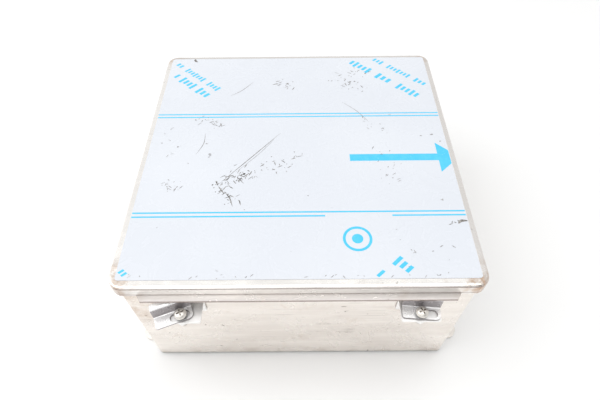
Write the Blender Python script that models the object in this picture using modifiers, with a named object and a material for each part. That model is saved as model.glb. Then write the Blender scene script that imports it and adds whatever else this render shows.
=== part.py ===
"""Wall-mount stainless steel enclosure with a hinged, gasketed cover and two screw clamps.

The box lies on its back: +X runs along the hinge, +Y points to the hinge side and +Z points
out of the mouth. The origin is the middle of the back panel's outer face. Metres throughout.
"""
import math

import bmesh
import bpy
from mathutils import Matrix

# ---- Driving dimensions -------------------------------------------------------------------
GAP = 0.0003                    # modelling clearance between pieces that touch
SHEET = 0.0015                  # body and cover sheet

BODY_WIDTH = 0.3086             # outside, along X
BODY_DEPTH = 0.3082             # outside, along Y
BODY_CORNER = 0.005             # outside radius of the upright bends
RIM_WIDTH = 0.0098              # turned-in rim around the mouth
RIM_CORNER = 0.004              # radius of the mouth's corners
RIM_HEM = 0.006                 # downward hem on the rim's inner edge

COVER_WIDTH = 0.3180
COVER_TOP = 0.1604              # height of the cover's outer face
COVER_DROP = 0.0129             # full height of the cover flanges
COVER_CORNER = 0.012
COVER_BEND = 0.0025
FRONT_OVERHANG = 0.0050         # cover flange beyond the front wall

LIP_REACH = 0.0063              # clamp lip, out from the front flange
LIP_ROOT_HALF = 0.1366
LIP_TIP_HALF = 0.1321

GASKET_THICK = 0.0050
GASKET_WIDTH = 0.0105

FILM_THICK = 0.00015
FILM_MARGIN_SIDE = 0.0060
FILM_MARGIN_FRONT = 0.0076
FILM_MARGIN_BACK = 0.0055

FOOT_THICK = 0.0020
FOOT_RADIUS = 0.0115
FOOT_HOLE_RADIUS = 0.0040
FOOT_X = 0.1635                 # foot holes
FOOT_Y = 0.1280
FOOT_ROOT_X = 0.1250            # inner end, welded under the back

KNUCKLE_OUTER = 0.0032
HINGE_SHEET = 0.0013
HINGE_LENGTH = 0.2900
HINGE_KNUCKLES = 15
HINGE_CUT = 0.0004              # between neighbouring knuckles
BODY_LEAF_DROP = 0.0190
COVER_LEAF_RISE = 0.0120
PIN_RADIUS = 0.00155

CLAMP_STATIONS = {"left": (-0.1001, 0.0223, 21.0, 0.0004), "right": (0.1040, 0.0160, -5.0, 0.0009)}
SCREW_OUT = 0.0162              # screw axis, out from the front wall
LEDGE_TOP = 0.1308
LEDGE_LENGTH = 0.0338
LEDGE_REACH = 0.0217
BRACKET_SHEET = 0.0019
BRACKET_LEG = 0.0180

CLAMP_SHEET = 0.0015
CLAMP_LENGTH = 0.0325
CLAMP_RISE = 0.0128             # foot plate's top to head plate's top
CLAMP_SLOT_TO_WEB = 0.0061
CLAMP_SLOT_TO_EDGE = 0.0052
CLAMP_HEAD_DEPTH = 0.0062       # web face to the head plate's inner edge
CLAMP_SLOT = (0.0127, 0.0299)   # slot's two ends, from the clamp's square end
CLAMP_SLOT_HALF = 0.0036

SCREW_RADIUS = 0.0024
SCREW_HEAD_RADIUS = 0.0053
SCREW_HEAD_HEIGHT = 0.0035
SCREW_LIFT = 0.0034             # head's underside above the clamp's foot plate, when loose
SCREW_LENGTH = 0.0200
WASHER_RADIUS = 0.0049
WASHER_THICK = 0.0012

PANEL_WIDTH = 0.2730
PANEL_DEPTH = 0.2760
PANEL_THICK = 0.0019
PANEL_STANDOFF = 0.0127
STUD_X = 0.1250
STUD_Y = 0.1262
STUD_RADIUS = 0.0031
STUD_COLLAR = 0.0060
NUT_FLAT_RADIUS = 0.0064        # hexagon's corner radius
NUT_HEIGHT = 0.0055

EARTH_STUD_LENGTH = 0.0160

# ---- Derived places -----------------------------------------------------------------------
FRONT_WALL = -BODY_DEPTH / 2
BACK_WALL = BODY_DEPTH / 2
COVER_FRONT = FRONT_WALL - FRONT_OVERHANG
LEAF_INNER = BACK_WALL + GAP
HINGE_Y = LEAF_INNER + KNUCKLE_OUTER
COVER_BACK = BACK_WALL + 2 * GAP + HINGE_SHEET + 0.0002 + SHEET
COVER_DEPTH = COVER_BACK - COVER_FRONT
COVER_MIDDLE_Y = (COVER_BACK + COVER_FRONT) / 2
COVER_LOW = COVER_TOP - COVER_DROP
COVER_UNDER = COVER_TOP - SHEET
HINGE_Z = COVER_LOW - GAP - KNUCKLE_OUTER
GASKET_TOP = COVER_UNDER - GAP
RIM_TOP = GASKET_TOP - GASKET_THICK - GAP
SCREW_Y = FRONT_WALL - SCREW_OUT
CLAMP_FOOT_TOP = LEDGE_TOP + GAP + CLAMP_SHEET
HEAD_UNDER = CLAMP_FOOT_TOP + SCREW_LIFT
PANEL_LOW = SHEET + PANEL_STANDOFF

parts = None
cutters = None


# ---- Helpers ------------------------------------------------------------------------------
def clear_scene():
    for old in list(bpy.data.objects):
        bpy.data.objects.remove(old, do_unlink=True)


def new_collection(name):
    collection = bpy.data.collections.new(name)
    bpy.context.scene.collection.children.link(collection)
    return collection


def metal(name, colour, roughness, metallic=1.0):
    material = bpy.data.materials.new(name)
    material.use_nodes = True
    shader = material.node_tree.nodes["Principled BSDF"]
    shader.inputs["Base Color"].default_value = (*colour, 1.0)
    shader.inputs["Roughness"].default_value = roughness
    shader.inputs["Metallic"].default_value = metallic
    return material


def add_object(name, data, material, collection=None):
    made = bpy.data.objects.new(name, data)
    (collection or parts).objects.link(made)
    if material is not None:
        data.materials.append(material)
    return made


def object_from_bmesh(name, mesh_builder, material, collection=None):
    mesh = bpy.data.meshes.new(name)
    mesh_builder.to_mesh(mesh)
    mesh_builder.free()
    return add_object(name, mesh, material, collection)


def smooth(made, degrees=30):
    made.data.shade_smooth()
    made.data.set_sharp_from_angle(angle=math.radians(degrees))


def solidify(made, thickness, offset):
    shell = made.modifiers.new("Sheet thickness", "SOLIDIFY")
    shell.thickness = thickness
    shell.offset = offset
    shell.use_even_offset = True


def combine(made, tool, operation):
    step = made.modifiers.new(operation.title(), "BOOLEAN")
    step.operation = operation
    step.solver = "EXACT"
    step.object = tool
    tool.hide_render = True
    tool.display_type = "WIRE"


def arc(centre_x, centre_y, radius, start, end, steps):
    """Points on an arc, angles in degrees, both ends included."""
    points = []
    for step in range(steps + 1):
        angle = math.radians(start + (end - start) * step / steps)
        points.append((centre_x + radius * math.cos(angle), centre_y + radius * math.sin(angle)))
    return points


def rounded_rectangle(width, depth, radius, middle_y=0.0, steps=6):
    outline = []
    half_x = width / 2 - radius
    half_y = depth / 2 - radius
    for quarter, (side_x, side_y) in enumerate(((1, 1), (-1, 1), (-1, -1), (1, -1))):
        start = 90 * quarter
        outline += arc(side_x * half_x, middle_y + side_y * half_y, radius, start, start + 90, steps)
    return outline


def circle(x, y, radius, steps=20):
    return arc(x, y, radius, 0, 360, steps)[:-1]


def flat_plate(name, outlines, low, thickness, material):
    """A plate from flat outlines: the first is the edge, the others are holes."""
    curve = bpy.data.curves.new(name, "CURVE")
    curve.dimensions = "2D"
    curve.fill_mode = "BOTH"
    curve.extrude = thickness / 2
    for outline in outlines:
        spline = curve.splines.new("POLY")
        spline.points.add(len(outline) - 1)
        for point, (x, y) in zip(spline.points, outline):
            point.co = (x, y, 0.0, 1.0)
        spline.use_cyclic_u = True
    made = add_object(name, curve, material)
    made.location.z = low + thickness / 2
    return made


def turned(name, profile, material, steps=24):
    """Turns a profile of (radius, height) points, listed from top to bottom, about Z."""
    mesh_builder = bmesh.new()
    corners = [mesh_builder.verts.new((radius, 0.0, height)) for radius, height in profile]
    for upper, lower in zip(corners, corners[1:]):
        mesh_builder.edges.new((upper, lower))
    if profile[0][0] > 0:
        mesh_builder.edges.new((corners[-1], corners[0]))
    made = object_from_bmesh(name, mesh_builder, material)
    lathe = made.modifiers.new("Turn", "SCREW")
    lathe.steps = steps
    lathe.render_steps = steps
    lathe.use_merge_vertices = True
    lathe.merge_threshold = 0.00001
    lathe.use_smooth_shade = False
    return made


def prism(name, radius, low, high, segments, material=None, collection=None):
    mesh_builder = bmesh.new()
    bmesh.ops.create_cone(
        mesh_builder, cap_ends=True, segments=segments, radius1=radius, radius2=radius,
        depth=high - low, matrix=Matrix.Translation((0.0, 0.0, (high + low) / 2)))
    return object_from_bmesh(name, mesh_builder, material, collection)


def block(name, size, middle, material=None, collection=None):
    mesh_builder = bmesh.new()
    bmesh.ops.create_cube(
        mesh_builder, size=1.0, matrix=Matrix.Translation(middle) @ Matrix.Diagonal((*size, 1.0)))
    return object_from_bmesh(name, mesh_builder, material, collection)


def rounded_box(width, depth, middle_y, low, high, radius, steps):
    """A bmesh block with rounded upright edges."""
    mesh_builder = bmesh.new()
    place = Matrix.Translation((0.0, middle_y, (low + high) / 2))
    bmesh.ops.create_cube(
        mesh_builder, size=1.0, matrix=place @ Matrix.Diagonal((width, depth, high - low, 1.0)))
    upright = [
        edge for edge in mesh_builder.edges
        if abs(edge.verts[0].co.z - edge.verts[1].co.z) > (high - low) / 2]
    bmesh.ops.bevel(
        mesh_builder, geom=upright, offset=radius, segments=steps, profile=0.5, affect="EDGES")
    return mesh_builder


def face_along(mesh_builder, direction):
    """The largest face whose normal points up (1) or down (-1)."""
    level = [face for face in mesh_builder.faces if face.normal.z * direction > 0.99]
    return max(level, key=lambda face: face.calc_area())


def bent(corners, radius, steps=3):
    """A polyline of (y, z) corners with each inner corner rounded."""
    path = [corners[0]]
    for before, corner, after in zip(corners, corners[1:], corners[2:]):
        toward = [math.dist(corner, before), math.dist(corner, after)]
        unit_in = [(b - c) / toward[0] for b, c in zip(before, corner)]
        unit_out = [(a - c) / toward[1] for a, c in zip(after, corner)]
        for step in range(steps + 1):
            share = math.pi / 2 * step / steps
            along_in = radius * (1 - math.sin(share))
            along_out = radius * (1 - math.cos(share))
            path.append(tuple(
                c + i * along_in + o * along_out for c, i, o in zip(corner, unit_in, unit_out)))
    path.append(corners[-1])
    return path


def strip_grid(path, stations):
    """An open sheet: a (y, z) path carried along X through the given stations."""
    mesh_builder = bmesh.new()
    bmesh.ops.create_grid(
        mesh_builder, x_segments=len(stations) - 1, y_segments=len(path) - 1, size=0.5)
    for vert in mesh_builder.verts:
        column = round((vert.co.x + 0.5) * (len(stations) - 1))
        row = round((vert.co.y + 0.5) * (len(path) - 1))
        vert.co = (stations[column], *path[row])
    return mesh_builder


def round_corners(mesh_builder, corners, steps=5):
    """Rounds corners of an open sheet: (x, y, z, radius) of each."""
    for x, y, z, radius in corners:
        nearest = min(
            mesh_builder.verts, key=lambda vert: math.dist(vert.co, (x, y, z)))
        bmesh.ops.bevel(
            mesh_builder, geom=[nearest], offset=radius, segments=steps, profile=0.5,
            affect="VERTICES")


# ---- Body ---------------------------------------------------------------------------------
def set_rim_edge(mouth):
    """Puts the mouth's outline on the rim's inner edge, with corners of its own radius."""
    for vert in mouth.verts:
        outer = next(
            edge.other_vert(vert).co for edge in vert.link_edges if mouth not in edge.link_faces)
        for axis, width in enumerate((BODY_WIDTH, BODY_DEPTH)):
            side = math.copysign(1.0, outer[axis])
            turn = (outer[axis] - side * (width / 2 - BODY_CORNER)) / BODY_CORNER
            vert.co[axis] = side * (width / 2 - RIM_WIDTH - RIM_CORNER) + RIM_CORNER * turn


def make_body(steel):
    walls = rounded_box(BODY_WIDTH, BODY_DEPTH, 0.0, 0.0, RIM_TOP, BODY_CORNER, 6)
    bmesh.ops.delete(walls, geom=[face_along(walls, -1)], context="FACES_ONLY")
    mouth = face_along(walls, 1)
    bmesh.ops.inset_region(walls, faces=[mouth], thickness=RIM_CORNER, use_even_offset=True)
    set_rim_edge(mouth)
    lowered = bmesh.ops.extrude_face_region(walls, geom=[mouth])["geom"]
    moved = [item for item in lowered if isinstance(item, bmesh.types.BMVert)]
    bmesh.ops.translate(walls, verts=moved, vec=(0.0, 0.0, -SHEET - RIM_HEM))
    lids = [item for item in lowered if isinstance(item, bmesh.types.BMFace)]
    bmesh.ops.delete(walls, geom=[*lids, mouth], context="FACES_ONLY")
    body = object_from_bmesh("body_walls", walls, steel)
    solidify(body, SHEET, -1.0)
    smooth(body)

    inset = SHEET + GAP
    outline = rounded_rectangle(BODY_WIDTH - 2 * inset, BODY_DEPTH - 2 * inset, BODY_CORNER - inset)
    flat_plate("back_panel", [outline], 0.0, SHEET, steel)


def make_feet(steel):
    corners = {
        "front_left": (-1, -1), "front_right": (1, -1), "rear_left": (-1, 1), "rear_right": (1, 1)}
    for place, (side_x, side_y) in corners.items():
        middle_y = side_y * FOOT_Y
        end = [(side_x * x, y) for x, y in arc(FOOT_X, middle_y, FOOT_RADIUS, -90, 90, 10)]
        root = side_x * FOOT_ROOT_X
        outline = end + [(root, middle_y + FOOT_RADIUS), (root, middle_y - FOOT_RADIUS)]
        hole = circle(side_x * FOOT_X, middle_y, FOOT_HOLE_RADIUS)
        flat_plate(f"foot_{place}", [outline, hole], -GAP - FOOT_THICK, FOOT_THICK, steel)


# ---- Cover --------------------------------------------------------------------------------
def make_cover(steel, rubber, film):
    pan = rounded_box(
        COVER_WIDTH, COVER_DEPTH, COVER_MIDDLE_Y, COVER_LOW, COVER_TOP, COVER_CORNER, 6)
    bmesh.ops.delete(pan, geom=[face_along(pan, -1)], context="FACES_ONLY")
    rim = list(face_along(pan, 1).edges)
    bmesh.ops.bevel(pan, geom=rim, offset=COVER_BEND, segments=3, profile=0.5, affect="EDGES")
    cover = object_from_bmesh("cover_panel", pan, steel)
    solidify(cover, SHEET, -1.0)

    overlap = SHEET / 2
    lip_depth = LIP_REACH + overlap
    lip = block(
        "lip_form", (2 * LIP_ROOT_HALF, lip_depth, SHEET),
        (0.0, COVER_FRONT + overlap - lip_depth / 2, COVER_LOW + SHEET / 2 + 0.00002),
        collection=cutters)
    for vert in lip.data.vertices:
        if vert.co.y < COVER_FRONT:
            vert.co.x = math.copysign(LIP_TIP_HALF, vert.co.x)
    combine(cover, lip, "UNION")
    smooth(cover)

    outer = rounded_rectangle(BODY_WIDTH + 0.0018, BODY_DEPTH - 0.0008, BODY_CORNER)
    inner = rounded_rectangle(
        BODY_WIDTH + 0.0018 - 2 * GASKET_WIDTH, BODY_DEPTH - 0.0008 - 2 * GASKET_WIDTH, 0.004)
    flat_plate("cover_gasket", [outer, inner], GASKET_TOP - GASKET_THICK, GASKET_THICK, rubber)

    front = COVER_FRONT + FILM_MARGIN_FRONT
    back = COVER_BACK - FILM_MARGIN_BACK
    sheet = rounded_rectangle(
        COVER_WIDTH - 2 * FILM_MARGIN_SIDE, back - front, 0.003, (front + back) / 2, 3)
    flat_plate("protective_film", [sheet], COVER_TOP + FILM_THICK, FILM_THICK, film)


# ---- Continuous hinge -----------------------------------------------------------------------
def hinge_leaf(name, first_knuckle, up, reach, steel):
    """One leaf rolled from strip. Its knuckles are every second one, from first_knuckle."""
    mean = KNUCKLE_OUTER - HINGE_SHEET / 2
    step_off = KNUCKLE_OUTER + HINGE_CUT
    curl = arc(HINGE_Y, 0.0, mean, 130 * up, -180 * up, 12)
    flat = [(HINGE_Y - mean, up * step_off), (HINGE_Y - mean, up * reach)]
    path = [(y, HINGE_Z + z) for y, z in curl + flat]

    pitch = HINGE_LENGTH / HINGE_KNUCKLES
    stations = []
    for knuckle in range(HINGE_KNUCKLES):
        start = -HINGE_LENGTH / 2 + knuckle * pitch
        stations += [start + HINGE_CUT / 2, start + pitch - HINGE_CUT / 2]
    leaf = strip_grid(path, stations)

    cut_away = []
    for face in leaf.faces:
        middle = face.calc_center_median()
        column = sum(1 for station in stations if station < middle.x) - 1
        knuckle, between = divmod(column, 2)
        own = knuckle % 2 == first_knuckle and not between
        if abs(middle.z - HINGE_Z) < step_off and not own:
            cut_away.append(face)
    bmesh.ops.delete(leaf, geom=cut_away, context="FACES")
    made = object_from_bmesh(name, leaf, steel)
    solidify(made, HINGE_SHEET, 0.0)
    smooth(made, 40)


def make_hinge(steel, pin_steel):
    hinge_leaf("hinge_body_leaf", 0, -1, BODY_LEAF_DROP, steel)
    hinge_leaf("hinge_cover_leaf", 1, 1, COVER_LEAF_RISE, steel)
    pin = prism("hinge_pin", PIN_RADIUS, -HINGE_LENGTH / 2, HINGE_LENGTH / 2, 16, pin_steel)
    pin.rotation_euler = (0.0, math.pi / 2, 0.0)
    pin.location = (0.0, HINGE_Y, HINGE_Z)
    smooth(pin, 40)


# ---- Clamps -------------------------------------------------------------------------------
def make_bracket(side, x, steel):
    inner = FRONT_WALL - GAP - BRACKET_SHEET / 2
    top = LEDGE_TOP - BRACKET_SHEET / 2
    path = bent(
        [(FRONT_WALL - LEDGE_REACH, top), (inner, top), (inner, top - BRACKET_LEG)], 0.0022)
    ledge = strip_grid(path, [-LEDGE_LENGTH / 2, LEDGE_LENGTH / 2])
    round_corners(ledge, [
        (sign * LEDGE_LENGTH / 2, FRONT_WALL - LEDGE_REACH, top, 0.0018) for sign in (-1, 1)])
    bracket = object_from_bmesh(f"clamp_bracket_{side}", ledge, steel)
    bracket.location.x = x
    solidify(bracket, BRACKET_SHEET, 0.0)
    hole = prism(
        f"bracket_hole_{side}", SCREW_RADIUS + 0.0006, LEDGE_TOP - 0.01, LEDGE_TOP + 0.01, 24,
        collection=cutters)
    hole.location = (x, SCREW_Y, 0.0)
    combine(bracket, hole, "DIFFERENCE")
    smooth(bracket)

    nut_top = LEDGE_TOP - BRACKET_SHEET - GAP
    nut = prism(f"weld_nut_{side}", 0.0056, nut_top - 0.0045, nut_top, 6, steel)
    nut.location = (x, SCREW_Y, 0.0)
    bore = prism(
        f"nut_bore_{side}", SCREW_RADIUS + 0.0003, nut_top - 0.01, nut_top + 0.01, 24,
        collection=cutters)
    bore.location = (x, SCREW_Y, 0.0)
    combine(nut, bore, "DIFFERENCE")


def make_clamp(side, x, square_end, turn, inward, steel):
    """A Z-shaped clamp. Its origin is on the screw axis, where it swivels."""
    left = -square_end
    right = CLAMP_LENGTH - square_end
    outer = -CLAMP_SLOT_TO_EDGE + inward
    web = CLAMP_SLOT_TO_WEB + CLAMP_SHEET / 2 + inward
    inner = CLAMP_SLOT_TO_WEB + CLAMP_HEAD_DEPTH + inward
    foot = CLAMP_FOOT_TOP - CLAMP_SHEET / 2
    head = foot + CLAMP_RISE
    path = bent([(outer, foot), (web, foot), (web, head), (inner, head)], 0.0016)
    sheet = strip_grid(path, [left, right])
    round_corners(sheet, [
        (left, outer, foot, 0.0022), (right, outer, foot, 0.0046),
        (left, inner, head, 0.0015), (right, inner, head, 0.0034)])
    clamp = object_from_bmesh(f"clamp_{side}", sheet, steel)
    solidify(clamp, CLAMP_SHEET, 0.0)
    clamp.location = (x, SCREW_Y, 0.0)
    clamp.rotation_euler = (0.0, 0.0, math.radians(turn))

    start, end = (left + mark for mark in CLAMP_SLOT)
    slot = prism(f"slot_{side}", CLAMP_SLOT_HALF, foot - 0.005, foot + 0.005, 28, collection=cutters)
    half_run = (end - start) / 2 - CLAMP_SLOT_HALF
    for vert in slot.data.vertices:
        vert.co.x += math.copysign(half_run, vert.co.x) + (start + end) / 2
        vert.co.y += inward
    slot.location = clamp.location
    slot.rotation_euler = clamp.rotation_euler
    combine(clamp, slot, "DIFFERENCE")
    smooth(clamp)


def make_screw(side, x, steel, dark_steel):
    """A loose pan-head screw with its captive washer. Both have their origin on the axis."""
    head = []
    power = 2.6
    for step in range(9):
        angle = math.radians(90 - 90 * step / 8)
        head.append((
            SCREW_HEAD_RADIUS * math.cos(angle) ** (2 / power),
            SCREW_HEAD_HEIGHT * math.sin(angle) ** (2 / power)))
    head[0] = (0.0, SCREW_HEAD_HEIGHT)
    head[-1] = (SCREW_HEAD_RADIUS, 0.0)
    shank = [
        (SCREW_RADIUS, 0.0), (SCREW_RADIUS, 0.0008 - SCREW_LENGTH),
        (SCREW_RADIUS - 0.0008, -SCREW_LENGTH), (0.0, -SCREW_LENGTH)]
    screw = turned(f"clamp_screw_{side}", head + shank, steel)
    screw.location = (x, SCREW_Y, HEAD_UNDER)
    for name, angle in (("a", 25.0), ("b", 115.0)):
        bar = block(
            f"recess_{name}_{side}", (0.0060, 0.0014, 0.0034), (0.0, 0.0, SCREW_HEAD_HEIGHT),
            collection=cutters)
        bar.location = screw.location
        bar.rotation_euler = (0.0, 0.0, math.radians(angle))
        combine(screw, bar, "DIFFERENCE")
    smooth(screw, 40)

    inner = SCREW_RADIUS + GAP
    washer = turned(
        f"lock_washer_{side}",
        [(inner, 0.0), (WASHER_RADIUS, 0.0), (WASHER_RADIUS, -WASHER_THICK), (inner, -WASHER_THICK)],
        dark_steel)
    washer.location = (x, SCREW_Y, HEAD_UNDER - GAP)
    smooth(washer, 40)


# ---- Inside -------------------------------------------------------------------------------
def make_nut(name, location, rotation, material):
    nut = prism(name, NUT_FLAT_RADIUS, 0.0, NUT_HEIGHT, 6, material)
    bore = prism(f"{name}_bore", STUD_RADIUS + GAP, -0.01, NUT_HEIGHT + 0.01, 24, collection=cutters)
    for item in (nut, bore):
        item.location = location
        item.rotation_euler = rotation
    combine(nut, bore, "DIFFERENCE")


def make_inner_panel(white, zinc):
    outline = rounded_rectangle(PANEL_WIDTH, PANEL_DEPTH, 0.006, steps=4)
    places = [(x, y) for y in (-STUD_Y, STUD_Y) for x in (-STUD_X, STUD_X)]
    holes = [circle(x, y, STUD_RADIUS + 0.0007) for x, y in places]
    flat_plate("inner_panel", [outline, *holes], PANEL_LOW, PANEL_THICK, white)

    base = SHEET + GAP
    shoulder = PANEL_LOW - GAP
    top = PANEL_LOW + PANEL_THICK + NUT_HEIGHT + 0.003
    profile = [
        (0.0, top), (STUD_RADIUS - 0.0006, top), (STUD_RADIUS, top - 0.0006), (STUD_RADIUS, shoulder),
        (STUD_COLLAR, shoulder), (STUD_COLLAR, base), (0.0, base)]
    for number, (x, y) in enumerate(places, start=1):
        stud = turned(f"panel_stud_{number}", profile, zinc, 20)
        stud.location = (x, y, 0.0)
        smooth(stud, 40)
        seat = PANEL_LOW + PANEL_THICK + GAP
        make_nut(f"panel_nut_{number}", (x, y, seat), (0.0, 0.0, 0.3 * number), zinc)


def make_earth_stud(name, base, rotation, copper):
    """A welded stud that stands out along its own +Z, with a nut half way up."""
    profile = [
        (0.0, EARTH_STUD_LENGTH), (STUD_RADIUS - 0.0006, EARTH_STUD_LENGTH),
        (STUD_RADIUS, EARTH_STUD_LENGTH - 0.0006), (STUD_RADIUS, 0.001),
        (STUD_RADIUS + 0.0012, 0.001), (STUD_RADIUS + 0.0012, GAP), (0.0, GAP)]
    stud = turned(f"{name}_stud", profile, copper, 20)
    stud.location = base
    stud.rotation_euler = rotation
    smooth(stud, 40)
    seat = stud.rotation_euler.to_matrix() @ Matrix.Translation((0, 0, 0.0045)).to_translation()
    make_nut(f"{name}_nut", [b + s for b, s in zip(base, seat)], rotation, copper)


def build():
    global parts, cutters
    clear_scene()
    parts = new_collection("hinged_cover_enclosure")
    cutters = new_collection("cutters")
    steel = metal("bare_stainless", (0.62, 0.59, 0.55), 0.34)
    clamp_steel = metal("clamp_stainless", (0.70, 0.69, 0.68), 0.18)
    pin_steel = metal("pin_steel", (0.60, 0.60, 0.60), 0.25)
    dark_steel = metal("washer_steel", (0.10, 0.10, 0.10), 0.45)
    zinc = metal("zinc_plate", (0.66, 0.66, 0.62), 0.35)
    copper = metal("coppered_steel", (0.72, 0.42, 0.28), 0.35)
    white = metal("panel_white", (0.85, 0.85, 0.83), 0.45, 0.0)
    rubber = metal("gasket_rubber", (0.03, 0.03, 0.03), 0.75, 0.0)
    film = metal("film", (0.72, 0.80, 0.90), 0.22, 0.0)

    make_body(steel)
    make_feet(steel)
    make_cover(steel, rubber, film)
    make_hinge(steel, pin_steel)
    for side, (x, square_end, turn, inward) in CLAMP_STATIONS.items():
        make_bracket(side, x, clamp_steel)
        make_clamp(side, x, square_end, turn, inward, clamp_steel)
        make_screw(side, x, clamp_steel, dark_steel)
    make_inner_panel(white, zinc)
    make_earth_stud(
        "body_earth", (-BODY_WIDTH / 2 + SHEET, 0.0, 0.030), (0.0, math.pi / 2, 0.0), copper)
    make_earth_stud("cover_earth", (-0.128, 0.128, COVER_UNDER), (math.pi, 0.0, 0.0), copper)


build()
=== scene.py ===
"""The looks of the hinged-cover stainless enclosure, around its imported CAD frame."""
import math
import random

import bmesh
import bpy
from mathutils import Matrix, Vector


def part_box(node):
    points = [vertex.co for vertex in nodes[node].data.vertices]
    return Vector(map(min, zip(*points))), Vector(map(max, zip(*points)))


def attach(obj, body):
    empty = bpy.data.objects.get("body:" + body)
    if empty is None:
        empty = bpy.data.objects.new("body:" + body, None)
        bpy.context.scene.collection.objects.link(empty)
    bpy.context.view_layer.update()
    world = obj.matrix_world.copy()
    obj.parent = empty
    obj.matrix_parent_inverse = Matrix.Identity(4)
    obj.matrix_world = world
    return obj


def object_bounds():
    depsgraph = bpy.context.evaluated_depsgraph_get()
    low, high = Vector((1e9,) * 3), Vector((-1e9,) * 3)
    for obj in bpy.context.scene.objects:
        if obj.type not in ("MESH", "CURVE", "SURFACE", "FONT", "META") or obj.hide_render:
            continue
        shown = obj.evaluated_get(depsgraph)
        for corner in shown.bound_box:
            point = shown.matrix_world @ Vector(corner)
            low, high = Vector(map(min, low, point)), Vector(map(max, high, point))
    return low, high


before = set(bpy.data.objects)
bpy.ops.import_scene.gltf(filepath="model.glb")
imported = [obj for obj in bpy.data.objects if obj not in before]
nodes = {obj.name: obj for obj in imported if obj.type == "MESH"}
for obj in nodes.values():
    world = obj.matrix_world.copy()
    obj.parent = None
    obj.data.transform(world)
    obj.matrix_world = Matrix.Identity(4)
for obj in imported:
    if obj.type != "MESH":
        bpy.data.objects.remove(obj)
CAD_BOX = [list(corner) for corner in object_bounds()]

COVER_LOW, COVER_HIGH = (Vector(corner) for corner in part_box("cover_panel"))
FILM_LOW, FILM_HIGH = (Vector(corner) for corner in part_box("protective_film"))
BODY_LOW, BODY_HIGH = (Vector(corner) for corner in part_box("body_walls"))
FLOOR_Z = CAD_BOX[0][2]
SCREW_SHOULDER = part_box("lock_washer_left")[1][2]
LIP_REACH = 0.0063              # the clamp lip stands out this far from the front flange
CAMERA_PLACE = (0.003, -0.335, 0.503)
CAMERA_TURN = (0.3, 52.1, -0.7)  # degrees: to the left, down, and about its own axis
LENS = 27.8                     # millimetres
SENSOR = 36.0                   # millimetres
ROOM_DARK_SIDE = (0.30, -0.66, 0.68)
FLOOR_HALF = 25.0
FLOOR_GAP = 0.0002              # between the feet and the floor
THREAD_PITCH = 0.000794
SEAM_SHADE_REACH = 0.0030             # how far the painted shade spreads out of a seam
HOLLOW_SHADE_REACH = 0.0020           # and the painted shade out of a small part's hollows


# ---- Shader helpers -----------------------------------------------------------------------
class Shader:
    """A short way to write node trees."""

    def __init__(self, name):
        self.material = bpy.data.materials.new(name)
        self.material.use_nodes = True
        self.tree = self.material.node_tree
        self.surface = self.tree.nodes["Principled BSDF"]
        self.place = self.tree.nodes.new("ShaderNodeTexCoord").outputs["Object"]

    def node(self, kind, inputs=None, **settings):
        made = self.tree.nodes.new(kind)
        for key, value in settings.items():
            setattr(made, key, value)
        for key, value in (inputs or {}).items():
            self.put(made.inputs[key], value)
        return made

    def put(self, socket, value):
        if isinstance(value, bpy.types.NodeSocket):
            self.tree.links.new(value, socket)
        else:
            socket.default_value = value

    def math(self, operation, *values):
        made = self.node("ShaderNodeMath", operation=operation)
        for socket, value in zip(made.inputs, values):
            self.put(socket, value)
        return made.outputs[0]

    def stretch(self, scale, turn=(0.0, 0.0, 0.0), shift=(0.0, 0.0, 0.0)):
        return self.node("ShaderNodeMapping", {
            "Vector": self.place, "Scale": scale, "Rotation": turn, "Location": shift}).outputs[0]

    def noise(self, scale, detail=4.0, roughness=0.55, vector=None, distortion=0.0):
        return self.node("ShaderNodeTexNoise", {
            "Vector": vector or self.place, "Scale": scale, "Detail": detail,
            "Roughness": roughness, "Distortion": distortion}).outputs["Fac"]

    def ramp(self, value, low, high, start=0.0, end=1.0):
        return self.node("ShaderNodeMapRange", {
            "Value": value, "From Min": low, "From Max": high, "To Min": start, "To Max": end},
            interpolation_type="SMOOTHSTEP").outputs["Result"]

    def mix(self, share, first, second):
        made = self.node("ShaderNodeMix", data_type="RGBA")
        colours = [socket for socket in made.inputs if socket.type == "RGBA"]
        self.put(made.inputs["Factor"], share)
        for socket, value in zip(colours, (first, second)):
            self.put(socket, (*value, 1.0) if isinstance(value, tuple) and len(value) == 3 else value)
        return next(socket for socket in made.outputs if socket.type == "RGBA")

    def tint(self, base, mask, share, colour):
        """Lay a colour over the base where the mask is, at a share of full strength."""
        return self.mix(self.math("MULTIPLY", mask, share), base, colour)

    def hollow(self, reach):
        """1 in the open, less where other surfaces stand within reach."""
        return self.node("ShaderNodeAmbientOcclusion", {"Distance": reach}, samples=6).outputs["AO"]

    def stripe(self, value, centre, solid, faded):
        """1 within solid of the centre, falling to 0 at faded."""
        away = self.math("ABSOLUTE", self.math("SUBTRACT", value, centre))
        return self.ramp(away, faded, solid)

    def axes(self):
        parts = self.node("ShaderNodeSeparateXYZ", {"Vector": self.place})
        return parts.outputs["X"], parts.outputs["Y"], parts.outputs["Z"]

    def near(self, point, reach, squash=(1.0, 1.0, 1.0)):
        """1 at a point, falling to 0 at reach."""
        shift = [-p * s for p, s in zip(point, squash)]
        local = self.stretch(squash, shift=shift)
        away = self.node("ShaderNodeVectorMath", {0: local}, operation="LENGTH").outputs["Value"]
        return self.ramp(away, reach, 0.0)

    def bump(self, height, distance, strength=1.0, normal=None):
        made = self.node("ShaderNodeBump", {
            "Height": height, "Distance": distance, "Strength": strength})
        if normal is not None:
            self.put(made.inputs["Normal"], normal)
        return made.outputs["Normal"]

    def finish(self, **values):
        for key, value in values.items():
            socket = self.surface.inputs[key.replace("_", " ")]
            self.put(socket, (*value, 1.0) if isinstance(value, tuple) and len(value) == 3 else value)
        return self.material


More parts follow.
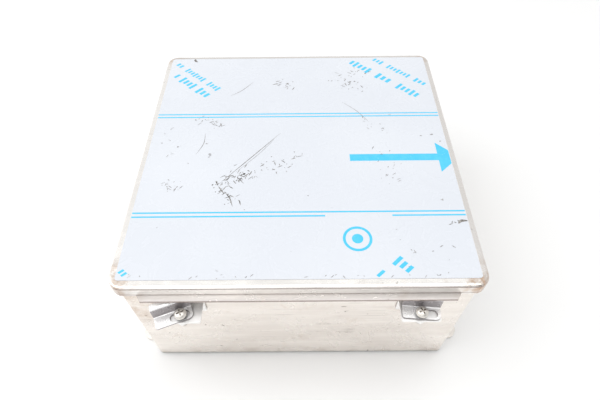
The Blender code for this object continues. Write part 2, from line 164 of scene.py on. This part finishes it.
# ---- Metals -------------------------------------------------------------------------------
def stainless(name, colour, dark, roughness, stain, specks, seam_shade):
    """Cold-rolled bare sheet: faint rolling grain, cloudy smudges, fine scratches, rust tint, and painted
    shade in its joins and corners.
    """
    s = Shader(name)
    grain = s.noise(1.0, 3.0, 0.6, s.stretch((9.0, 900.0, 900.0)))
    cloud = s.noise(1.0, 3.0, 0.5, s.stretch((12.0, 12.0, 55.0)), 0.4)
    smear = s.noise(1.0, 4.0, 0.65, s.stretch((22.0, 70.0, 30.0), (0.2, 0.5, 0.7)), 1.2)
    base = s.mix(s.ramp(cloud, 0.32, 0.70), dark, colour)
    base = s.tint(base, s.ramp(grain, 0.35, 0.75), 0.16, tuple(c * 0.72 for c in colour))

    scratch_mask = None
    for turn, scale in ((0.4, 1.0), (-0.9, 0.8), (1.9, 1.2)):
        lines = s.noise(1.0, 0.0, 0.5, s.stretch(
            (14.0 * scale, 620.0 * scale, 620.0 * scale), (0.3 * turn, turn, turn)))
        broken = s.noise(34.0 * scale, 2.0, 0.5, s.stretch((1.0, 1.0, 1.0), shift=(turn, 2.0, 1.0)))
        thin = s.math("MULTIPLY", s.ramp(lines, 0.735, 0.80), s.ramp(broken, 0.52, 0.68))
        scratch_mask = thin if scratch_mask is None else s.math("MAXIMUM", scratch_mask, thin)
    base = s.tint(base, scratch_mask, 0.35, (0.30, 0.28, 0.26))

    rust = s.noise(26.0, 5.0, 0.65, distortion=0.9)
    base = s.tint(base, s.ramp(rust, 0.56, 0.78), stain, (0.45, 0.30, 0.17))
    grit = s.noise(170.0, 2.0, 0.5)
    base = s.tint(base, s.ramp(grit, 0.72, 0.765), specks, (0.14, 0.11, 0.08))
    rough = s.math("ADD", roughness, s.math("MULTIPLY", s.ramp(smear, 0.35, 0.70), 0.13))
    rough = s.math("ADD", rough, s.math("MULTIPLY", scratch_mask, 0.15))
    # Painted shade: darker where other surfaces stand close, in joins and corners.
    base = s.tint(base, s.ramp(s.hollow(SEAM_SHADE_REACH), 0.62, 0.30), seam_shade, (0.20, 0.15, 0.12))
    wave = s.bump(s.noise(4.0, 0.0, 0.4), 0.0008, 0.10)
    fine = s.bump(grain, 0.00001, 0.30, wave)
    marks = s.bump(s.math("MULTIPLY", scratch_mask, -1.0), 0.00001, 0.5, fine)
    return s, base, rough, marks


def body_steel():
    s, base, rough, marks = stainless(
        "body stainless", (0.93, 0.880, 0.830), (0.850, 0.795, 0.745), 0.25,
        stain=0.28, specks=0.7, seam_shade=0.50)
    z = s.axes()[2]
    # Grimy bend and base edges, a painted contact shadow along the very bottom, and a heat-tinted halo
    # behind each welded bracket.
    low = s.ramp(z, 0.022, 0.0)
    edge_noise = s.ramp(s.noise(60.0, 4.0, 0.6), 0.40, 0.66)
    base = s.tint(base, s.math("MULTIPLY", low, edge_noise), 0.28, (0.30, 0.21, 0.14))
    # Painted contact shadow: a thin dark line along the bottom edge.
    base = s.tint(base, s.ramp(z, 0.0024, 0.0009), 0.6, (0.28, 0.30, 0.28))
    for side in ("left", "right"):
        bottom, top = (Vector(corner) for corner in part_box(f"clamp_bracket_{side}"))
        middle = (bottom + top) / 2
        halo = s.near((middle.x, BODY_LOW.y, middle.z - 0.004), 0.034, (1.0, 0.6, 1.5))
        halo = s.math("MULTIPLY", halo, s.ramp(s.noise(70.0, 4.0, 0.6), 0.35, 0.70))
        base = s.tint(base, halo, 0.35, (0.36, 0.26, 0.18))
    corner = s.near((BODY_LOW.x, BODY_LOW.y, 0.115), 0.055, (1.0, 1.0, 0.7))
    corner = s.math("MULTIPLY", corner, s.ramp(s.noise(48.0, 4.0, 0.62), 0.38, 0.66))
    base = s.tint(base, corner, 0.5, (0.42, 0.27, 0.15))
    # A few handling marks on the front wall: (share across it, share up it, reach, how dark).
    wall = BODY_HIGH - BODY_LOW
    smudges = (
        (0.65, 0.36, 0.0085, 0.40), (0.58, 0.49, 0.0080, 0.34), (0.66, 0.40, 0.0060, 0.25),
        (0.63, 0.74, 0.0030, 0.85), (0.64, 0.68, 0.0026, 0.60), (0.55, 0.37, 0.0070, 0.28))
    for across, up, reach, share in smudges:
        spot = (BODY_LOW.x + across * wall.x, BODY_LOW.y, BODY_LOW.z + up * wall.z)
        mark = s.near(spot, reach, (0.7, 1.0, 1.7))
        mark = s.math("MULTIPLY", mark, s.ramp(s.noise(150.0, 3.0, 0.6), 0.34, 0.58))
        base = s.tint(base, mark, share, (0.20, 0.16, 0.12))
    return s.finish(Base_Color=base, Metallic=1.0, Roughness=rough, Normal=marks)


def cover_steel():
    s, base, rough, marks = stainless(
        "cover stainless", (0.960, 0.940, 0.910), (0.92, 0.895, 0.86), 0.17,
        stain=0.15, specks=0.3, seam_shade=0.20)
    x, y, z = s.axes()
    corners = (
        (COVER_LOW.x, COVER_LOW.y + 0.008, 0.70), (COVER_HIGH.x, COVER_LOW.y + 0.008, 0.90),
        (COVER_LOW.x, COVER_HIGH.y, 0.45), (COVER_HIGH.x, COVER_HIGH.y, 0.45))
    for corner_x, corner_y, share in corners:
        rust = s.near((corner_x, corner_y, COVER_HIGH.z - 0.006), 0.040)
        patchy = s.ramp(s.noise(75.0, 5.0, 0.65), 0.34, 0.64)
        rust = s.math("MULTIPLY", s.ramp(rust, 0.05, 0.80), patchy)
        base = s.tint(base, rust, share, (0.50, 0.31, 0.18))
    corner = s.near((COVER_LOW.x + 0.003, COVER_LOW.y + 0.012, COVER_LOW.z + 0.003), 0.026, (0.8, 1.0, 1.6))
    corner = s.math("MULTIPLY", corner, s.ramp(z, COVER_HIGH.z - 0.0018, COVER_HIGH.z - 0.0030))
    base = s.tint(base, corner, 0.70, (0.47, 0.41, 0.37))
    # Painted shade: the lip is tinted darker and its sheared edge dark; a painted dark reflection stripe
    # runs along the front fold, and a painted shade stripe where the lip meets the flange.
    flange_y = COVER_LOW.y + LIP_REACH
    lip = s.ramp(y, flange_y - 0.0004, flange_y - 0.0012)
    base = s.tint(base, lip, 0.15, (0.62, 0.53, 0.52))
    # Painted shade: the right side flange and the rear flange are darker, and the outer faces of both side
    # flanges darker still.
    side = s.ramp(x, COVER_HIGH.x - 0.0065, COVER_HIGH.x - 0.0050)
    rear = s.ramp(y, COVER_HIGH.y - 0.0060, COVER_HIGH.y - 0.0045)
    base = s.tint(base, s.math("MAXIMUM", side, rear), 0.50, (0.58, 0.55, 0.53))
    side_face_shade = s.ramp(s.math("ABSOLUTE", x), COVER_HIGH.x - 0.0009, COVER_HIGH.x - 0.0003)
    base = s.tint(base, side_face_shade, 0.45, (0.42, 0.36, 0.33))
    solid, faded = 0.0003, 0.0009
    bend_reflection_line = s.stripe(z, COVER_HIGH.z - 0.0019, solid, faded)
    bend_reflection_line = s.math("MULTIPLY", bend_reflection_line, s.ramp(y, flange_y + 0.0020, flange_y + 0.0012))
    edge = s.ramp(y, COVER_LOW.y + 0.0007, COVER_LOW.y + 0.0003)
    root_shade_line = s.stripe(z, COVER_LOW.z + 0.0022, solid, faded)
    root_shade_line = s.math("MULTIPLY", root_shade_line, s.ramp(y, flange_y + 0.0012, flange_y + 0.0006))
    painted_dark_lines = s.math("MAXIMUM", s.math("MAXIMUM", bend_reflection_line, edge), s.math("MULTIPLY", root_shade_line, 0.75))
    base = s.tint(base, painted_dark_lines, 0.80, (0.24, 0.17, 0.15))
    # The flange and the lip are satin, partly non-metallic so that they stay as pale as the real ones.
    satin = s.ramp(y, flange_y + 0.0004, flange_y + 0.0016, 0.62, 1.0)
    return s.finish(Base_Color=base, Metallic=satin, Roughness=rough, Normal=marks)


def plain_metal(name, colour, roughness, scale, dark_share=0.45, metallic=1.0, thread=False, upright_shade=0.0):
    """Small parts: cloudy wear, painted shade in the hollows, and painted shade on upright faces where
    asked for.
    """
    s = Shader(name)
    wear = s.noise(scale, 5.0, 0.62, distortion=0.4)
    fine = s.noise(scale * 8.0, 3.0, 0.6)
    base = s.tint(colour, s.ramp(wear, 0.36, 0.72), dark_share, tuple(c * 0.55 for c in colour))
    # Painted shade: darker in the hollows, where other surfaces stand close.
    base = s.tint(base, s.ramp(s.hollow(HOLLOW_SHADE_REACH), 0.80, 0.35), 0.8, (0.10, 0.070, 0.045))
    # Painted shade: faces that stand upright are tinted dark.
    if upright_shade:
        normal = s.node("ShaderNodeNewGeometry").outputs["Normal"]
        facing = s.node("ShaderNodeSeparateXYZ", {"Vector": normal})
        upright = s.ramp(s.math("ABSOLUTE", facing.outputs["Z"]), 0.55, 0.25)
        base = s.tint(base, upright, upright_shade, (0.22, 0.19, 0.20))
    rough = s.math("ADD", roughness, s.math("MULTIPLY", s.ramp(wear, 0.3, 0.7), 0.14))
    normal = s.bump(fine, 0.00002, 0.5)
    if thread:
        z = s.axes()[2]
        turns = s.math("SINE", s.math("MULTIPLY", z, math.tau / THREAD_PITCH))
        below_head = s.ramp(z, SCREW_SHOULDER, SCREW_SHOULDER - 0.0004)
        normal = s.bump(s.math("MULTIPLY", turns, below_head), 0.00022, 0.9, normal)
    return s.finish(Base_Color=base, Metallic=metallic, Roughness=rough, Normal=normal)


def gasket_rubber():
    s = Shader("gasket rubber")
    cells = s.noise(1600.0, 2.0, 0.6)
    dust = s.noise(60.0, 5.0, 0.6)
    base = s.tint((0.022, 0.022, 0.023), s.ramp(dust, 0.48, 0.76), 0.3, (0.17, 0.16, 0.15))
    normal = s.bump(cells, 0.00008, 0.8)
    return s.finish(Base_Color=base, Roughness=0.82, Normal=normal)


def panel_paint():
    s = Shader("panel powder coat")
    peel = s.noise(420.0, 2.0, 0.5)
    dust = s.noise(14.0, 5.0, 0.6)
    base = s.mix(s.ramp(dust, 0.42, 0.74), (0.84, 0.84, 0.82), (0.76, 0.755, 0.73))
    normal = s.bump(peel, 0.00005, 0.5)
    return s.finish(Base_Color=base, Roughness=0.42, Normal=normal)


def film_plastic():
    """The film's own look: milky pale blue, faint wrinkles, grime flecks and handling marks."""
    s = Shader("protective film")
    cloud = s.noise(8.0, 4.0, 0.55)
    base = s.mix(s.ramp(cloud, 0.34, 0.70), (0.672, 0.700, 0.750), (0.700, 0.727, 0.772))
    grey = s.noise(30.0, 6.0, 0.70, distortion=0.8)
    base = s.tint(base, s.ramp(grey, 0.55, 0.80), 0.22, (0.55, 0.57, 0.60))
    fleck = s.noise(95.0, 2.0, 0.5)
    patch = s.noise(9.0, 2.0, 0.5, s.stretch((1.0, 1.0, 1.0), shift=(3.0, 1.0, 0.0)))
    dots = s.math("MULTIPLY", s.ramp(fleck, 0.735, 0.775), s.ramp(patch, 0.46, 0.60))
    base = s.tint(base, dots, 0.75, (0.12, 0.10, 0.09))
    rub = s.noise(1.0, 3.0, 0.6, s.stretch((60.0, 420.0, 60.0), (0.0, 0.0, 0.7)))
    where = s.noise(12.0, 2.0, 0.5, s.stretch((1.0, 1.0, 1.0), shift=(7.0, 4.0, 0.0)))
    hair = s.math("MULTIPLY", s.ramp(rub, 0.70, 0.76), s.ramp(where, 0.52, 0.66))
    base = s.tint(base, hair, 0.45, (0.33, 0.34, 0.36))
    crease = s.noise(1.0, 2.0, 0.5, s.stretch((8.0, 46.0, 8.0), (0.0, 0.0, 0.15)), 0.8)
    wave = s.bump(crease, 0.0005, 0.25)
    fine = s.bump(s.noise(240.0, 3.0, 0.6), 0.00002, 0.3, wave)
    rough = s.math("ADD", 0.23, s.math("MULTIPLY", s.ramp(grey, 0.40, 0.75), 0.18))
    return s.finish(
        Base_Color=base, Roughness=rough, Normal=fine, Coat_Weight=0.25, Coat_Roughness=0.12,
        Specular_IOR_Level=0.45)


def film_ink():
    s = Shader("film print")
    patchy = s.noise(120.0, 4.0, 0.6)
    base = s.mix(s.ramp(patchy, 0.40, 0.75), (0.055, 0.540, 0.830), (0.085, 0.580, 0.850))
    worn = s.noise(520.0, 3.0, 0.65)
    base = s.tint(base, s.ramp(worn, 0.62, 0.76), 0.4, (0.55, 0.74, 0.88))
    return s.finish(Base_Color=base, Roughness=0.28, Coat_Weight=0.25, Coat_Roughness=0.12)


def scuff_dark():
    s = Shader("scuff")
    patchy = s.noise(400.0, 4.0, 0.7)
    base = s.mix(s.ramp(patchy, 0.35, 0.70), (0.12, 0.11, 0.10), (0.38, 0.36, 0.34))
    return s.finish(Base_Color=base, Roughness=0.6)


# ---- Flat marks laid on the film --------------------------------------------------------------
INK_LIFT = 0.00002              # print above the film, and scuffs above the print
INK_Z = FILM_HIGH.z + INK_LIFT
PRINT_SLOPE = math.radians(-42.0)   # every row of print runs down to the right


def on_film(across, up):
    """A place on the film, as shares of its width and its depth from the front left corner."""
    return Vector((
        FILM_LOW.x + across * (FILM_HIGH.x - FILM_LOW.x),
        FILM_LOW.y + up * (FILM_HIGH.y - FILM_LOW.y)))


class Marks:
    """Flat pieces of print on one plane, gathered into one mesh."""

    def __init__(self, name, height):
        self.name = name
        self.height = height
        self.mesh = bmesh.new()

    def inside(self, x, y):
        edge = 0.0004
        return (
            min(max(x, FILM_LOW.x + edge), FILM_HIGH.x - edge),
            min(max(y, FILM_LOW.y + edge), FILM_HIGH.y - edge))

    def holds(self, point, reach):
        """Whether a spot and some room around it lie on the film."""
        return (
            FILM_LOW.x + reach < point.x < FILM_HIGH.x - reach
            and FILM_LOW.y + reach < point.y < FILM_HIGH.y - reach)

    def shape(self, points):
        ring = [self.mesh.verts.new((*self.inside(x, y), self.height)) for x, y in points]
        face = self.mesh.faces.new(ring)
        face.normal_update()
        if face.normal.z < 0:
            face.normal_flip()

    def bar(self, start, end, width, lean=0.0):
        run = Vector(end) - Vector(start)
        side = Vector((-run.y, run.x)).normalized() * width / 2
        tip = run.normalized() * lean
        first, last = Vector(start), Vector(end)
        self.shape([first - side, last - side, last + side + tip, first + side + tip])

    def stroke(self, points, width):
        """A tapering scratch through points."""
        count = len(points) - 1
        left, right = [], []
        for index, point in enumerate(points):
            before = Vector(points[max(index - 1, 0)])
            after = Vector(points[min(index + 1, count)])
            side = Vector((before.y - after.y, after.x - before.x)).normalized()
            share = math.sin(math.pi * (index + 0.35) / (count + 0.7))
            side *= width / 2 * max(share, 0.15)
            left.append(Vector(point) - side)
            right.append(Vector(point) + side)
        self.shape(left + right[::-1])

    def done(self, material):
        data = bpy.data.meshes.new(self.name)
        self.mesh.to_mesh(data)
        self.mesh.free()
        made = bpy.data.objects.new(self.name, data)
        bpy.context.scene.collection.objects.link(made)
        data.materials.append(material)
        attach(made, "cover")


def film_print(material):
    """Generic blue print: paired rules, a plain arrow, a ring with a dot, and rows of blocks."""
    marks = Marks("film_print", INK_Z)
    left, right = FILM_LOW.x, FILM_HIGH.x
    rule, spacing = 0.0016, 0.0045
    rear_pair, front_pair = on_film(0, 0.66).y, on_film(0, 0.22).y
    for y in (rear_pair + spacing / 2, rear_pair - spacing / 2, front_pair + spacing / 2):
        marks.bar((left, y), (right, y), rule)
    # The lowest rule has a plain gap.
    y = front_pair - spacing / 2
    for start, end in ((left, on_film(0.58, 0).x), (on_film(0.78, 0).x, right)):
        marks.bar((start, y), (end, y), rule)

    # Plain arrow, whose head runs off the film.
    tail, middle = on_film(0.67, 0.45)
    neck = on_film(0.96, 0).x
    shaft, wing, cut = 0.0046, 0.0200, 0.0090
    for start, end, start_half, end_half in ((tail, neck, shaft, shaft), (neck, right, wing, cut)):
        marks.shape([
            (start, middle - start_half), (end, middle - end_half),
            (end, middle + end_half), (start, middle + start_half)])

    # Ring with a dot.
    centre = on_film(0.67, 0.13)
    dot, inner, outer = 0.0050, 0.0105, 0.0130
    steps = 36
    rim = [Vector((math.cos(math.tau * n / steps), math.sin(math.tau * n / steps))) for n in range(steps)]
    marks.shape([centre + out * dot for out in rim])
    for first, second in zip(rim, [*rim[1:], rim[0]]):
        marks.shape([centre + first * inner, centre + first * outer,
                     centre + second * outer, centre + second * inner])

    # Slanted rows of plain blocks where the film carries print: (across, up, length, tall, words).
    rows = [
        (0.00, 0.92, 0.070, 0.011, (0.7, 1.0, 0.8)), (0.01, 0.98, 0.080, 0.008, (0.5, 1.0, 0.6)),
        (0.68, 1.00, 0.110, 0.011, (1.0, 0.5, 0.7)), (0.79, 1.00, 0.080, 0.008, (0.6, 1.0, 0.5)),
        (0.77, 0.06, 0.030, 0.011, (1.0,)), (0.72, 0.02, 0.015, 0.008, (1.0,)),
        (0.00, 0.04, 0.012, 0.007, (1.0,)),
    ]
    heading = Vector((math.cos(PRINT_SLOPE), math.sin(PRINT_SLOPE)))
    space, filled = 0.20, 0.58  # between words, and the part of each step that a block fills
    for across, up, length, tall, words in rows:
        begin, run = on_film(across, up), heading * length
        total = sum(words) + space * (len(words) - 1)
        place = 0.0
        for word in words:
            first = begin + run * (place / total)
            last = begin + run * ((place + word) / total)
            blocks = max(2, round((last - first).length / (filled * tall)))
            for block in range(blocks):
                near = first.lerp(last, block / blocks)
                far = first.lerp(last, (block + filled) / blocks)
                if marks.holds(near, tall * 0.40) and marks.holds(far, tall * 0.40):
                    marks.bar(near, far, tall * (0.72 if block % 3 else 1.0), 0.0008)
            place += word + space
    marks.done(material)


def film_scuffs(material):
    marks = Marks("film_scuffs", INK_Z + INK_LIFT)

    def curve(points, width):
        smooth = []
        for before, start, end, after in zip(
                [points[0], *points], points, points[1:], [*points[2:], points[-1]]):
            b, p, q, a = (Vector(v) for v in (before, start, end, after))
            for step in range(6):
                t = step / 6
                smooth.append(0.5 * (
                    2 * p + (q - b) * t + (2 * b - 5 * p + 4 * q - a) * t * t
                    + (3 * p - b - 3 * q + a) * t ** 3))
        smooth.append(Vector(points[-1]))
        marks.stroke(smooth, width)

    # Scratches: (width, places as shares of the film).
    scratches = [
        (0.0008, [(0.44, 0.57), (0.40, 0.52), (0.35, 0.46), (0.30, 0.40), (0.25, 0.34)]),
        (0.0004, [(0.42, 0.54), (0.37, 0.47), (0.30, 0.39)]),
        (0.0006, [(0.18, 0.57), (0.18, 0.52), (0.16, 0.47)]),
        (0.0006, [(0.33, 0.85), (0.29, 0.80), (0.25, 0.77)]),
        (0.0005, [(0.66, 0.73), (0.71, 0.68), (0.75, 0.62)]),
        (0.0012, [(0.25, 0.33), (0.27, 0.30)]),
        (0.0010, [(0.27, 0.31), (0.29, 0.28), (0.30, 0.25)]),
        (0.0030, [(0.10, 0.98), (0.09, 0.99), (0.09, 1.00)]),
        (0.0028, [(0.97, 0.18), (0.98, 0.19), (1.00, 0.19)]),
    ]
    for width, places in scratches:
        curve([on_film(*place) for place in places], width)
    # Flecks: (across, up, radius).
    flecks = [
        (0.46, 0.84, 0.0017), (0.48, 0.85, 0.0010), (0.71, 0.91, 0.0013), (0.92, 0.55, 0.0013),
        (0.94, 0.27, 0.0017), (0.27, 0.37, 0.0016), (0.28, 0.34, 0.0014), (0.42, 0.40, 0.0016),
        (0.19, 0.52, 0.0012), (0.14, 0.43, 0.0009), (0.53, 0.29, 0.0009), (0.80, 0.36, 0.0010)]
    for number, (across, up, radius) in enumerate(flecks):
        x, y = on_film(across, up)
        ring = []
        for corner in range(9):
            angle = math.tau * corner / 9
            reach = radius * (0.55 + 0.35 * math.sin(2.3 * corner + number))
            ring.append((x + 1.4 * reach * math.cos(angle), y + reach * math.sin(angle)))
        marks.shape(ring)
    # Bands of grit: (start, end, spread, how many, size), start and end as shares of the film.
    chance = random.Random(7)
    bands = [
        ((0.25, 0.33), (0.33, 0.38), 0.0060, 46, 0.00085),
        ((0.32, 0.37), (0.52, 0.46), 0.0050, 44, 0.00070),
        ((0.25, 0.31), (0.33, 0.26), 0.0045, 22, 0.00070),
        ((0.15, 0.64), (0.23, 0.61), 0.0035, 26, 0.00070),
        ((0.08, 0.34), (0.13, 0.31), 0.0045, 20, 0.00060),
        ((0.42, 0.85), (0.46, 0.82), 0.0035, 18, 0.00075),
        ((0.64, 0.87), (0.75, 0.82), 0.0060, 34, 0.00070),
        ((0.70, 0.94), (0.75, 0.89), 0.0030, 12, 0.00070),
        ((0.77, 0.48), (0.81, 0.34), 0.0060, 22, 0.00055),
        ((0.73, 0.63), (0.81, 0.56), 0.0040, 12, 0.00050),
        ((0.79, 0.11), (0.89, 0.08), 0.0080, 10, 0.00050),
        ((0.04, 0.60), (0.07, 0.47), 0.0060, 12, 0.00050),
        ((0.95, 0.18), (0.97, 0.19), 0.0012, 6, 0.00060),
        ((0.01, 0.01), (0.99, 0.01), 0.0012, 26, 0.00050),
    ]
    for start, end, spread, count, size in bands:
        for _ in range(count):
            middle = on_film(*start).lerp(on_film(*end), chance.random())
            middle += Vector((chance.gauss(0, spread), chance.gauss(0, spread)))
            heading = chance.uniform(0.2, 1.2) + (math.pi / 2 if chance.random() < 0.3 else 0.0)
            along = Vector((math.cos(heading), math.sin(heading)))
            length = size * chance.choice((0.8, 1.2, 2.0, 3.6))
            marks.stroke([middle - along * length, middle, middle + along * length],
                         size * chance.uniform(0.7, 1.6))
    marks.done(material)


# ---- Stage ----------------------------------------------------------------------------------
def soft_light(name, place, size, energy):
    """A soft rectangular light aimed at the middle of the box."""
    data = bpy.data.lights.new(name, "AREA")
    data.shape = "RECTANGLE"
    data.size, data.size_y = size
    data.energy = energy
    lamp = bpy.data.objects.new(name, data)
    bpy.context.scene.collection.objects.link(lamp)
    lamp.location = place
    aim = Vector((0.0, 0.0, 0.05)) - Vector(place)
    lamp.rotation_euler = aim.to_track_quat("-Z", "Y").to_euler()


def make_stage():
    data = bpy.data.meshes.new("floor")
    mesh = bmesh.new()
    bmesh.ops.create_grid(mesh, x_segments=1, y_segments=1, size=FLOOR_HALF)
    for vert in mesh.verts:
        vert.co.z = FLOOR_Z - FLOOR_GAP
    mesh.to_mesh(data)
    mesh.free()
    floor = bpy.data.objects.new("floor", data)
    bpy.context.scene.collection.objects.link(floor)
    s = Shader("floor paper")
    tone = s.noise(2.0, 3.0, 0.5)
    # The far floor glows a little, so that it meets the white room without a grey band.
    away = s.node("ShaderNodeVectorMath", {0: s.place}, operation="LENGTH").outputs["Value"]
    data.materials.append(s.finish(
        Base_Color=s.mix(tone, (0.90, 0.90, 0.895), (0.92, 0.92, 0.915)), Roughness=0.75,
        Emission_Color=(1.0, 1.0, 1.0), Emission_Strength=s.ramp(away, 1.5, 6.0, 0.0, 0.30)))

    world = bpy.data.worlds.new("studio")
    bpy.context.scene.world = world
    world.use_nodes = True
    # A white room, darker on the side where the photographer stands.
    tree = world.node_tree
    back = tree.nodes["Background"]
    back.inputs["Color"].default_value = (1.0, 1.0, 1.0, 1.0)
    place = tree.nodes.new("ShaderNodeTexCoord")
    toward = tree.nodes.new("ShaderNodeVectorMath")
    toward.operation = "DOT_PRODUCT"
    toward.inputs[1].default_value = Vector(ROOM_DARK_SIDE).normalized()
    shade = tree.nodes.new("ShaderNodeMapRange")
    shade.interpolation_type = "SMOOTHSTEP"
    for socket, value in (("From Min", 0.70), ("From Max", 0.95), ("To Min", 0.94), ("To Max", 0.16)):
        shade.inputs[socket].default_value = value
    tree.links.new(place.outputs["Generated"], toward.inputs[0])
    tree.links.new(toward.outputs["Value"], shade.inputs["Value"])
    tree.links.new(shade.outputs["Result"], back.inputs["Strength"])
    soft_light("front", (0.0, -2.2, 1.6), (2.0, 1.0), 6.0)
    soft_light("key", (-1.5, -0.1, 1.7), (1.6, 1.6), 13.0)
    soft_light("overhead", (0.1, -0.3, 2.3), (2.0, 1.6), 16.5)
    bpy.context.scene.view_settings.view_transform = "Standard"


def make_camera():
    data = bpy.data.cameras.new("camera")
    data.sensor_width = SENSOR
    data.lens = LENS
    data.clip_start = 0.01
    camera = bpy.data.objects.new("camera", data)
    bpy.context.scene.collection.objects.link(camera)
    yaw, pitch, roll = (math.radians(angle) for angle in CAMERA_TURN)
    flat = Vector((-math.sin(yaw), math.cos(yaw), 0.0))
    forward = flat * math.cos(pitch) - Vector((0.0, 0.0, math.sin(pitch)))
    right = Vector((math.cos(yaw), math.sin(yaw), 0.0))
    up = right.cross(forward)
    turned_right = right * math.cos(roll) + up * math.sin(roll)
    turned_up = up * math.cos(roll) - right * math.sin(roll)
    axes = Matrix((turned_right, turned_up, -forward)).transposed()
    camera.matrix_world = Matrix.Translation(CAMERA_PLACE) @ axes.to_4x4()
    bpy.context.scene.camera = camera


def paint(names, material):
    for name in names:
        data = nodes[name].data
        data.materials.clear()
        data.materials.append(material)


feet = [f"foot_{end}_{side}" for end in ("front", "rear") for side in ("left", "right")]
paint(["body_walls", "back_panel", "hinge_body_leaf"], body_steel())
paint(feet, plain_metal("foot stainless", (0.80, 0.76, 0.71), 0.34, 80.0, 0.35))
paint(["cover_panel", "hinge_cover_leaf"], cover_steel())
bright = plain_metal(
    "clamp stainless", (0.95, 0.945, 0.94), 0.20, 90.0, 0.10, metallic=0.50, upright_shade=0.80)
ledge_steel = plain_metal("ledge stainless", (0.95, 0.94, 0.93), 0.34, 70.0, 0.14, metallic=0.55)
screw_steel = plain_metal(
    "screw stainless", (0.80, 0.765, 0.715), 0.30, 260.0, 0.35, metallic=0.85, thread=True)
for side in ("left", "right"):
    paint([f"clamp_{side}"], bright)
    paint([f"clamp_bracket_{side}", f"weld_nut_{side}"], ledge_steel)
    paint([f"clamp_screw_{side}"], screw_steel)
# The washers are near black: partly their own dark finish, partly painted shade around the screw heads.
washer_dark_shade = plain_metal("washer steel", (0.09, 0.085, 0.08), 0.40, 300.0)
paint(["lock_washer_left", "lock_washer_right"], washer_dark_shade)
paint(["hinge_pin"], plain_metal("pin steel", (0.62, 0.61, 0.60), 0.22, 200.0))
zinc = plain_metal("zinc plate", (0.68, 0.69, 0.66), 0.30, 220.0)
paint([f"panel_{kind}_{number}" for kind in ("stud", "nut") for number in range(1, 5)], zinc)
copper = plain_metal("coppered steel", (0.74, 0.43, 0.29), 0.30, 240.0)
paint([f"{place}_earth_{kind}" for place in ("body", "cover") for kind in ("stud", "nut")], copper)
paint(["inner_panel"], panel_paint())
paint(["cover_gasket"], gasket_rubber())
paint(["protective_film"], film_plastic())
film_print(film_ink())
film_scuffs(scuff_dark())
make_stage()
make_camera()
